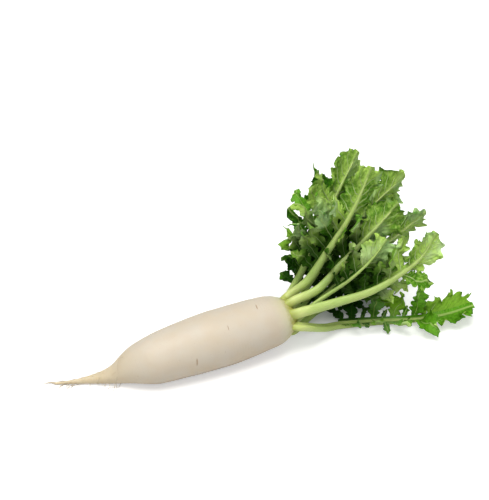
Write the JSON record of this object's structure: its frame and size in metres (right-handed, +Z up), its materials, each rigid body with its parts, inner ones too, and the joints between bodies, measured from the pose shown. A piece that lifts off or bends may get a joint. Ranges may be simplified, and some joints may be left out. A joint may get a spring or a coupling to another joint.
{
  "type": "white radish",
  "caption": "Long white radish lying on its side, with a thin tapering tail and a full head of upswept green leaves with lobed blades on pale stalks.",
  "frame": {"origin": "on the surface that the radish rests on, at the flat spot under the root's widest part", "axes": "+X from the tail to the crown and the leaves, +Z up, -Z out of the flat spot"},
  "size_m": [0.4786, 0.1862, 0.196],
  "materials": {
    "root_skin": "waxy off-white skin, slightly moist, with faint rings",
    "leaf_stalk": "smooth pale yellow-green stalk with fine ribs",
    "leaf_blade": "mid green above, paler and dusty below"
  },
  "bodies": {
    "root": {"radish_root": "root_skin", "leaf_front_low_stalk": "leaf_stalk", "leaf_front_sweep_stalk": "leaf_stalk", "leaf_inner_front_stalk": "leaf_stalk", "leaf_mid_arch_stalk": "leaf_stalk", "leaf_high_arch_stalk": "leaf_stalk", "leaf_top_stalk": "leaf_stalk", "leaf_back_high_stalk": "leaf_stalk", "leaf_back_mid_stalk": "leaf_stalk", "leaf_back_low_stalk": "leaf_stalk", "leaf_inner_right_stalk": "leaf_stalk", "leaf_inner_arch_stalk": "leaf_stalk", "leaf_inner_back_stalk": "leaf_stalk", "leaf_front_low_blade": "leaf_blade", "leaf_front_sweep_blade": "leaf_blade", "leaf_inner_front_blade": "leaf_blade", "leaf_mid_arch_blade": "leaf_blade", "leaf_high_arch_blade": "leaf_blade", "leaf_top_blade": "leaf_blade", "leaf_back_high_blade": "leaf_blade", "leaf_back_mid_blade": "leaf_blade", "leaf_back_low_blade": "leaf_blade", "leaf_inner_right_blade": "leaf_blade", "leaf_inner_arch_blade": "leaf_blade", "leaf_inner_back_blade": "leaf_blade"}
  },
  "joints": []
}
